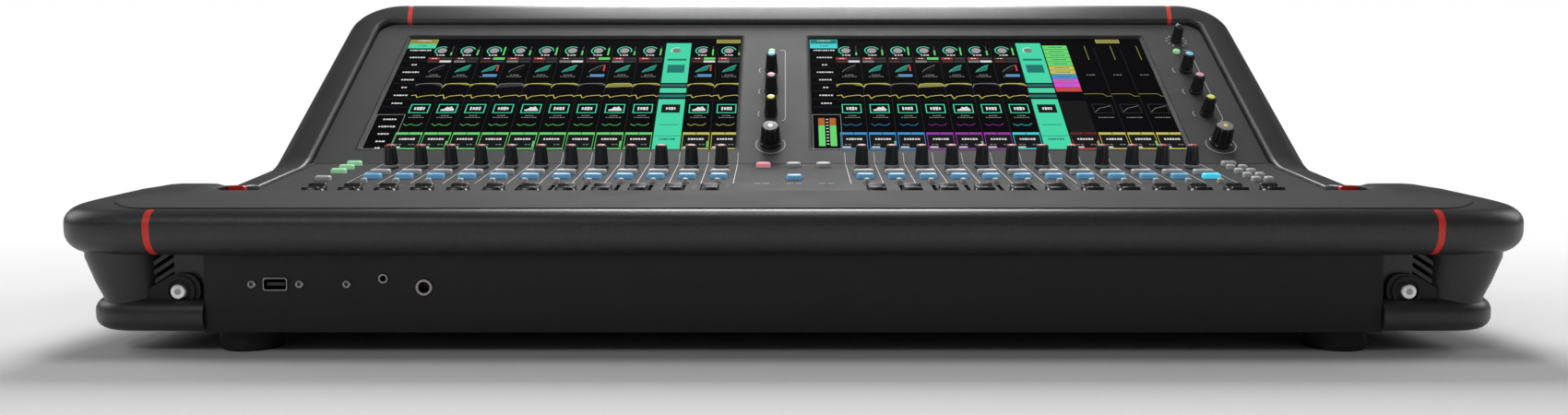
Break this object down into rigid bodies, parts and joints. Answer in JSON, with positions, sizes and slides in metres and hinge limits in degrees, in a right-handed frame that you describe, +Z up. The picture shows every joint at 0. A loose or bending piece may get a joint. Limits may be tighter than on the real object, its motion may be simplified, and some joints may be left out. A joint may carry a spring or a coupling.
{
  "type": "mixing console",
  "caption": "Digital mixing console: tubular frame, sloping fader panel with motorised faders, raised twin touchscreens, knobs and lit keys.",
  "frame": {"origin": "under the middle of the desk, on the table that the feet rest on", "axes": "+X to the operator's right, +Y to the back of the desk, +Z up"},
  "size_m": [0.917, 0.627, 0.2683],
  "materials": {
    "frame_grey": "satin, fine sparkle texture",
    "panel_grey": "satin",
    "front_black": "matt",
    "chassis_black": "matt",
    "pad_grey": "matt",
    "accent_red": "satin",
    "screen_glass": "gloss",
    "foot_rubber": "matt",
    "bright_steel": "brushed",
    "socket_metal": "satin",
    "socket_black": "matt",
    "board_green": "matt",
    "knob_black": "soft touch",
    "fader_black": "soft touch",
    "key_white": "translucent, matt",
    "key_blue": "translucent, lit",
    "key_green": "translucent, lit"
  },
  "bodies": {
    "console": {"base_pan": "chassis_black", "front_panel": "front_black", "rear_panel": "chassis_black", "fader_panel": "panel_grey", "screen_panel": "panel_grey", "front_rail": "frame_grey", "armrest_pad": "pad_grey", "rear_rail": "frame_grey", "side_frame_left": "frame_grey", "side_frame_right": "frame_grey", "accent_bands": "accent_red", "screens": "screen_glass", "feet": "foot_rubber", "frame_bolts": "bright_steel", "front_sockets": "socket_metal", "xlr_sockets": "socket_black", "rear_ports": "socket_black", "power_supply": "bright_steel", "main_board": "board_green", "fader_tracks": "bright_steel", "strip_rotaries": "knob_black", "panel_brackets": "bright_steel"},
    "fader_01": {"fader_01": "fader_black"},
    "fader_02": {"fader_02": "fader_black"},
    "fader_03": {"fader_03": "fader_black"},
    "fader_04": {"fader_04": "fader_black"},
    "fader_05": {"fader_05": "fader_black"},
    "fader_06": {"fader_06": "fader_black"},
    "fader_07": {"fader_07": "fader_black"},
    "fader_08": {"fader_08": "fader_black"},
    "fader_09": {"fader_09": "fader_black"},
    "fader_10": {"fader_10": "fader_black"},
    "fader_11": {"fader_11": "fader_black"},
    "fader_12": {"fader_12": "fader_black"},
    "fader_13": {"fader_13": "fader_black"},
    "fader_14": {"fader_14": "fader_black"},
    "fader_15": {"fader_15": "fader_black"},
    "fader_16": {"fader_16": "fader_black"},
    "fader_17": {"fader_17": "fader_black"},
    "fader_18": {"fader_18": "fader_black"},
    "fader_19": {"fader_19": "fader_black"},
    "fader_20": {"fader_20": "fader_black"},
    "fader_21": {"fader_21": "fader_black"},
    "fader_22": {"fader_22": "fader_black"},
    "fader_23": {"fader_23": "fader_black"},
    "fader_24": {"fader_24": "fader_black"},
    "centre_knob_1": {"centre_knob_1": "knob_black"},
    "centre_knob_2": {"centre_knob_2": "knob_black"},
    "centre_knob_3": {"centre_knob_3": "knob_black"},
    "centre_knob_large": {"centre_knob_large": "knob_black"},
    "right_knob_1": {"right_knob_1": "knob_black"},
    "right_knob_2": {"right_knob_2": "knob_black"},
    "right_knob_3": {"right_knob_3": "knob_black"},
    "right_knob_large": {"right_knob_large": "knob_black"},
    "phones_knob": {"phones_knob": "knob_black"},
    "mute_keys": {"mute_keys": "key_white"},
    "select_keys": {"select_keys": "key_blue"},
    "listen_keys": {"listen_keys": "key_white"},
    "soft_keys": {"soft_keys": "key_green"},
    "assign_keys": {"assign_keys": "key_green"}
  },
  "joints": [
    {"name": "fader_01_slide", "type": "slide", "parent": "console", "child": "fader_01", "axis": [0, 0.9903, 0.1392], "range_m": [-0.015, 0.085]},
    {"name": "fader_02_slide", "type": "slide", "parent": "console", "child": "fader_02", "axis": [0, 0.9903, 0.1392], "range_m": [-0.015, 0.085]},
    {"name": "fader_03_slide", "type": "slide", "parent": "console", "child": "fader_03", "axis": [0, 0.9903, 0.1392], "range_m": [-0.015, 0.085]},
    {"name": "fader_04_slide", "type": "slide", "parent": "console", "child": "fader_04", "axis": [0, 0.9903, 0.1392], "range_m": [-0.015, 0.085]},
    {"name": "fader_05_slide", "type": "slide", "parent": "console", "child": "fader_05", "axis": [0, 0.9903, 0.1392], "range_m": [-0.015, 0.085]},
    {"name": "fader_06_slide", "type": "slide", "parent": "console", "child": "fader_06", "axis": [0, 0.9903, 0.1392], "range_m": [-0.015, 0.085]},
    {"name": "fader_07_slide", "type": "slide", "parent": "console", "child": "fader_07", "axis": [0, 0.9903, 0.1392], "range_m": [-0.015, 0.085]},
    {"name": "fader_08_slide", "type": "slide", "parent": "console", "child": "fader_08", "axis": [0, 0.9903, 0.1392], "range_m": [-0.015, 0.085]},
    {"name": "fader_09_slide", "type": "slide", "parent": "console", "child": "fader_09", "axis": [0, 0.9903, 0.1392], "range_m": [-0.015, 0.085]},
    {"name": "fader_10_slide", "type": "slide", "parent": "console", "child": "fader_10", "axis": [0, 0.9903, 0.1392], "range_m": [-0.015, 0.085]},
    {"name": "fader_11_slide", "type": "slide", "parent": "console", "child": "fader_11", "axis": [0, 0.9903, 0.1392], "range_m": [-0.015, 0.085]},
    {"name": "fader_12_slide", "type": "slide", "parent": "console", "child": "fader_12", "axis": [0, 0.9903, 0.1392], "range_m": [-0.015, 0.085]},
    {"name": "fader_13_slide", "type": "slide", "parent": "console", "child": "fader_13", "axis": [0, 0.9903, 0.1392], "range_m": [-0.015, 0.085]},
    {"name": "fader_14_slide", "type": "slide", "parent": "console", "child": "fader_14", "axis": [0, 0.9903, 0.1392], "range_m": [-0.015, 0.085]},
    {"name": "fader_15_slide", "type": "slide", "parent": "console", "child": "fader_15", "axis": [0, 0.9903, 0.1392], "range_m": [-0.015, 0.085]},
    {"name": "fader_16_slide", "type": "slide", "parent": "console", "child": "fader_16", "axis": [0, 0.9903, 0.1392], "range_m": [-0.015, 0.085]},
    {"name": "fader_17_slide", "type": "slide", "parent": "console", "child": "fader_17", "axis": [0, 0.9903, 0.1392], "range_m": [-0.015, 0.085]},
    {"name": "fader_18_slide", "type": "slide", "parent": "console", "child": "fader_18", "axis": [0, 0.9903, 0.1392], "range_m": [-0.015, 0.085]},
    {"name": "fader_19_slide", "type": "slide", "parent": "console", "child": "fader_19", "axis": [0, 0.9903, 0.1392], "range_m": [-0.015, 0.085]},
    {"name": "fader_20_slide", "type": "slide", "parent": "console", "child": "fader_20", "axis": [0, 0.9903, 0.1392], "range_m": [-0.015, 0.085]},
    {"name": "fader_21_slide", "type": "slide", "parent": "console", "child": "fader_21", "axis": [0, 0.9903, 0.1392], "range_m": [-0.015, 0.085]},
    {"name": "fader_22_slide", "type": "slide", "parent": "console", "child": "fader_22", "axis": [0, 0.9903, 0.1392], "range_m": [-0.015, 0.085]},
    {"name": "fader_23_slide", "type": "slide", "parent": "console", "child": "fader_23", "axis": [0, 0.9903, 0.1392], "range_m": [-0.015, 0.085]},
    {"name": "fader_24_slide", "type": "slide", "parent": "console", "child": "fader_24", "axis": [0, 0.9903, 0.1392], "range_m": [-0.015, 0.085]},
    {"name": "centre_knob_1_turn", "type": "hinge", "parent": "console", "child": "centre_knob_1", "pos_m": [-0.0181, 0.14141, 0.19424], "axis": [0, -0.5835, 0.8121], "continuous": true},
    {"name": "centre_knob_2_turn", "type": "hinge", "parent": "console", "child": "centre_knob_2", "pos_m": [-0.0181, 0.11136, 0.17265], "axis": [0, -0.5835, 0.8121], "continuous": true},
    {"name": "centre_knob_3_turn", "type": "hinge", "parent": "console", "child": "centre_knob_3", "pos_m": [-0.0181, 0.08131, 0.15106], "axis": [0, -0.5835, 0.8121], "continuous": true},
    {"name": "centre_knob_large_turn", "type": "hinge", "parent": "console", "child": "centre_knob_large", "pos_m": [-0.0181, 0.04436, 0.12451], "axis": [0, -0.5835, 0.8121], "continuous": true},
    {"name": "right_knob_1_turn", "type": "hinge", "parent": "console", "child": "right_knob_1", "pos_m": [0.3895, 0.14141, 0.19424], "axis": [0, -0.5835, 0.8121], "continuous": true},
    {"name": "right_knob_2_turn", "type": "hinge", "parent": "console", "child": "right_knob_2", "pos_m": [0.3895, 0.11136, 0.17265], "axis": [0, -0.5835, 0.8121], "continuous": true},
    {"name": "right_knob_3_turn", "type": "hinge", "parent": "console", "child": "right_knob_3", "pos_m": [0.3895, 0.08131, 0.15106], "axis": [0, -0.5835, 0.8121], "continuous": true},
    {"name": "right_knob_large_turn", "type": "hinge", "parent": "console", "child": "right_knob_large", "pos_m": [0.3895, 0.04436, 0.12451], "axis": [0, -0.5835, 0.8121], "continuous": true},
    {"name": "phones_knob_turn", "type": "hinge", "parent": "console", "child": "phones_knob", "pos_m": [0.3945, 0.18648, 0.22663], "axis": [0, -0.5835, 0.8121], "range_deg": [-150, 150]},
    {"name": "mute_keys_press", "type": "slide", "parent": "console", "child": "mute_keys", "axis": [0, 0.1392, -0.9903], "range_m": [0, 0.0015], "stiffness_N_per_m": 2500},
    {"name": "select_keys_press", "type": "slide", "parent": "console", "child": "select_keys", "axis": [0, 0.1392, -0.9903], "range_m": [0, 0.0015], "stiffness_N_per_m": 2500},
    {"name": "listen_keys_press", "type": "slide", "parent": "console", "child": "listen_keys", "axis": [0, 0.1392, -0.9903], "range_m": [0, 0.0015], "stiffness_N_per_m": 2500},
    {"name": "soft_keys_press", "type": "slide", "parent": "console", "child": "soft_keys", "axis": [0, 0.1392, -0.9903], "range_m": [0, 0.0015], "stiffness_N_per_m": 2500},
    {"name": "assign_keys_press", "type": "slide", "parent": "console", "child": "assign_keys", "axis": [0, 0.5835, -0.8121], "range_m": [0, 0.0015], "stiffness_N_per_m": 2500}
  ]
}
